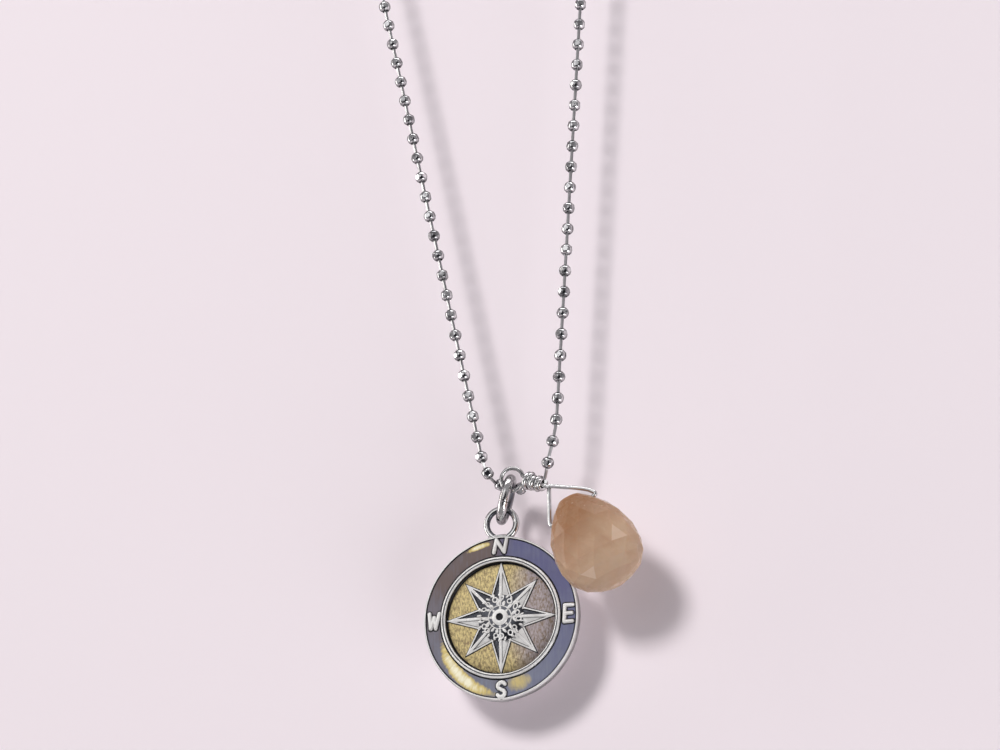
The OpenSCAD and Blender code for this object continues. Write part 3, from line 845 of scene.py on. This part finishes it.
def makeBeads(s):
    solid = mergedCopy("bead_chain")
    line = inOrder(islandCentres(solid), s["first"] * mm)
    solid.free()
    draw = random.Random(s["seed"])
    bead = beadShape(s)
    bm = bmesh.new()
    for i, centre in enumerate(line):
        way = line[min(i + 1, len(line) - 1)] - line[max(i - 1, 0)]
        turn = turnedTo(way) @ Matrix.Rotation(draw.uniform(0, math.tau / 4), 4, "Z")
        addCopy(bm, bead, Matrix.Translation(centre) @ turn @ Matrix.Scale(mm, 4))
    bead.free()
    finishes = ["chainSilver", "darkHollow"]
    finishPiece(bm, "ball_chain_beads", "chain", finishes, ["bead_chain"], smooth=None)
    print("beads placed:", len(line))


makeBeads(beadSettings)

# The stone's wire

wireSettings = {  # places from the knot, in mm
    "wire": 0.4, "wraps": 5, "wrapCorners": 12, "wrapRadius": 0.43, "wrapWide": 0.3,
    "wrapBulge": 0.13, "bulgeWave": 0.83,
    "eyeRadius": 1.09, "eyeTilt": 10, "eyeCentre": (0.2, -0.96, 0.27), "eyeStart": 26, "eyeTurn": 308,
    "eyeSpread": 0.15, "eyeCorners": 20,
    "stemTop": (1.8, -1.48, -0.05), "stemLow": (3.55, -1.74, -0.8), "apex": (4.05, -1.75, -1.05),
    "tip": (6.45, -2.25, -1.85), "lean": 25, "holeAt": 1.35, "holeLean": 33,
    "halfIn": 2.967, "halfOut": 2.451, "bendIn": 0.15, "bendOut": 0.24,
    "inShift": (-0.05, 0, 0.12), "outShift": (0, 0, 0.12),
    "upperLeg": ((1.95, 0, 1.9), (0.6, 0.04, 2.35), (-0.85, 0.2, 2.62)),  # from the hole
    "underApex": (0.05, -0.1, -0.3), "innerLeg": (-0.12, 0, -0.05), "lastBend": (0, -0.1, 0.16),
    "narrow": 0.12, "narrowFrom": 4, "narrowReach": 9, "press": 0.4, "pressReach": 4,  # the stone's top
}


def eyePoint(s, angle, side):
    tilt = math.radians(s["eyeTilt"])
    flat = Vector((math.cos(angle), 0, math.sin(angle))) * s["eyeRadius"] + Vector((0, side, 0))
    return Vector(s["eyeCentre"]) + Matrix.Rotation(tilt, 3, "X") @ flat


def drawnIn(point, s):  # draws the stone's outer shoulder in and its tip down, and the wire's legs with them
    lean = math.radians(s["lean"])
    along, side = Vector((math.sin(lean), 0, -math.cos(lean))), Vector((math.cos(lean), 0, math.sin(lean)))
    away = point - Vector(s["tip"])
    depth = away.dot(along)
    narrow = s["narrow"] * (away.dot(side) + s["narrowFrom"]) * max(0, 1 - depth / s["narrowReach"])
    return point - side * narrow + along * s["press"] * max(0, 1 - depth / s["pressReach"])


def wirePoints(s):  # wraps round the stem, the hanging eye, the stem, and the triangle through the stone
    top, foot, apex, tip = (Vector(s[key]) for key in ("stemTop", "stemLow", "apex", "tip"))
    stem = (foot - top).normalized()
    up = stem.cross(Vector((0, 1, 0))).normalized()
    out = stem.cross(up)
    points = []
    steps = s["wrapCorners"] * s["wraps"]
    for i in range(steps + 1):
        angle = math.radians(90 - 360 * (s["wraps"] - i / s["wrapCorners"]))
        bulge = 1 + s["wrapBulge"] * math.sin(i * s["bulgeWave"])
        radius = (s["wrapRadius"] + s["wrapWide"] * i / steps) * bulge
        points.append(foot.lerp(top, i / steps) + radius * (math.cos(angle) * out + math.sin(angle) * up))
    hang = math.atan2(top.z - s["eyeCentre"][2], top.x - s["eyeCentre"][0])
    for k in range(s["eyeCorners"] + 1):
        share = k / s["eyeCorners"]
        turn = math.radians(s["eyeStart"] + s["eyeTurn"] * share)
        points.append(eyePoint(s, hang + turn, s["eyeSpread"] * (1 - 2 * share)))
    lean, slope = math.radians(s["lean"]), math.radians(s["holeLean"])
    hole = tip + s["holeAt"] * Vector((math.sin(lean), 0, -math.cos(lean)))
    way = Vector((math.cos(slope), 0, math.sin(slope)))
    legs = [
        hole - (s["halfIn"] + s["bendIn"]) * way + Vector(s["inShift"]), hole - s["halfIn"] * way,
        hole + s["halfOut"] * way, hole + (s["halfOut"] + s["bendOut"]) * way + Vector(s["outShift"])]
    legs += [hole + Vector(place) for place in s["upperLeg"]]
    legs = [drawnIn(point, s) for point in legs]
    points += [top, foot, apex, apex + Vector(s["underApex"])]
    points += [apex.lerp(legs[1], 0.5) + Vector(s["innerLeg"]), *legs]
    return points + [apex.lerp(legs[-1], 0.04) + Vector(s["lastBend"])]


def makeStoneWire(s):
    data = bpy.data.curves.new("wirePath", "CURVE")
    data.dimensions = "3D"
    data.bevel_depth = s["wire"] / 2
    data.bevel_resolution = 4
    data.resolution_u = 4
    data.use_fill_caps = True
    points = wirePoints(s)
    spline = data.splines.new("BEZIER")
    spline.bezier_points.add(len(points) - 1)
    for spot, point in zip(spline.bezier_points, points):
        spot.co = point
        spot.handle_left_type = spot.handle_right_type = "AUTO"
    curve = bpy.data.objects.new("wirePath", data)
    bpy.context.scene.collection.objects.link(curve)
    bpy.context.view_layer.update()
    bm = bmesh.new()
    bm.from_mesh(curve.to_mesh())
    curve.to_mesh_clear()
    bpy.data.objects.remove(curve)
    bmesh.ops.recalc_face_normals(bm, faces=bm.faces)
    bm.transform(Matrix.Translation(knot * mm) @ Matrix.Scale(mm, 4))
    finishPiece(bm, "stone_wire", "hanger", ["wireSilver"], ["drop_wire"])


makeStoneWire(wireSettings)

# The jump ring, a cut ring of thick wire

ringSettings = {
    # darkInside sets where the painted shade on the ring's inner side begins, in mm inward from the wire's
    # middle
    "wire": 0.98, "radius": 2.03, "darkInside": 0.2, "gapTurn": 2.2, "seamAt": 200, "steps": 96, "sides": 24,
    "turns": range(-40, 41), "leans": range(-30, 31), "everyCorner": 97,  # where its axis is looked for
}


def ringPlace(node, s):  # a ring's centre and axis, from its CAD node: it is flattest along its axis
    corners = [vert.co.copy() for vert in nodes[node].data.vertices]
    middle = sum(corners, Vector()) / len(corners)
    reaches = [corner - middle for corner in corners[::s["everyCorner"]]]
    turns = [Matrix.Rotation(math.radians(turn), 3, "Z") for turn in s["turns"]]
    leans = [Matrix.Rotation(math.radians(lean), 3, "Y") for lean in s["leans"]]
    ways = [turn @ lean @ Vector((1, 0, 0)) for turn in turns for lean in leans]
    return middle, min(ways, key=lambda way: max(abs(reach.dot(way)) for reach in reaches))


def makeJumpRing(s):
    middle, axis = ringPlace("jump_ring", s)
    bm = bmesh.new()
    made = bmesh.ops.create_circle(bm, cap_ends=True, segments=s["sides"], radius=s["wire"] / 2)["verts"]
    bmesh.ops.transform(bm, matrix=Matrix.Translation((s["radius"], 0, 0)) @ upright, verts=made)
    around = math.radians(360 - s["gapTurn"])
    bmesh.ops.spin(bm, geom=bm.faces[:], cent=(0, 0, 0), axis=(0, 0, 1), angle=around, steps=s["steps"])
    bmesh.ops.recalc_face_normals(bm, faces=bm.faces)
    seam = Matrix.Rotation(math.radians(s["seamAt"]), 4, "Z")
    bm.transform(Matrix.Translation(middle) @ turnedTo(axis) @ seam @ Matrix.Scale(mm, 4))
    # painted shade: the faces on the ring's inner side get the slate finish
    for face in bm.faces:
        reach = face.calc_center_median() - middle
        if (reach - axis * reach.dot(axis)).length < (s["radius"] - s["darkInside"]) * mm:
            face.material_index = 1
    finishes = ["ringSilver", "slateSilver"]
    ring = finishPiece(bm, "thick_jump_ring", "hanger", finishes, ["jump_ring"])
    ring.data.set_sharp_from_angle(angle=math.radians(50))


makeJumpRing(ringSettings)
print("wires and ring made")

# The stone, with softened facet edges

stoneSettings = {
    "softEdge": 0.2, "flatTurn": 3, "sharpTurn": 5,  # faces that turn less are joined, or aren't softened
    "glints": ((4.83, -5.32), (2.42, -8.55)),  # across and up from the tip, in mm: facets in the light
}


def makeStone(s):
    bm = mergedCopy("drop_stone")
    bmesh.ops.dissolve_limit(bm, angle_limit=math.radians(s["flatTurn"]), verts=bm.verts, edges=bm.edges)
    tip = (knot + Vector(wireSettings["tip"])) * mm
    facing = [face for face in bm.faces if face.normal.y < -0.3]
    flat = Vector((1, 0, 1))  # depth doesn't count
    for across, up in s["glints"]:
        spot = tip + Vector((across, 0, up)) * mm
        nearest = min(facing, key=lambda face: ((face.calc_center_median() - spot) * flat).length)
        nearest.material_index = 1
    for vert in bm.verts:
        vert.co = (drawnIn(vert.co / mm - knot, wireSettings) + knot) * mm
    finishes = [name for name, glint in peachSettings["kinds"]]
    stone = finishPiece(bm, "faceted_stone", "hanger", finishes, ["drop_stone"], smooth=False)
    bevel = stone.modifiers.new("facetEdges", "BEVEL")
    bevel.width = s["softEdge"] * mm
    bevel.segments = 3
    bevel.limit_method = "ANGLE"
    bevel.angle_limit = math.radians(s["sharpTurn"])


makeStone(stoneSettings)
print("stone made")

# The link wire, the clasp and its ring keep their solids' shapes

for node, finish in (("link_wire", "threadSilver"), ("clasp", "claspSilver"), ("end_ring", "claspSilver")):
    mesh = nodes[node].data
    mesh.materials.clear()
    mesh.materials.append(materials[finish])
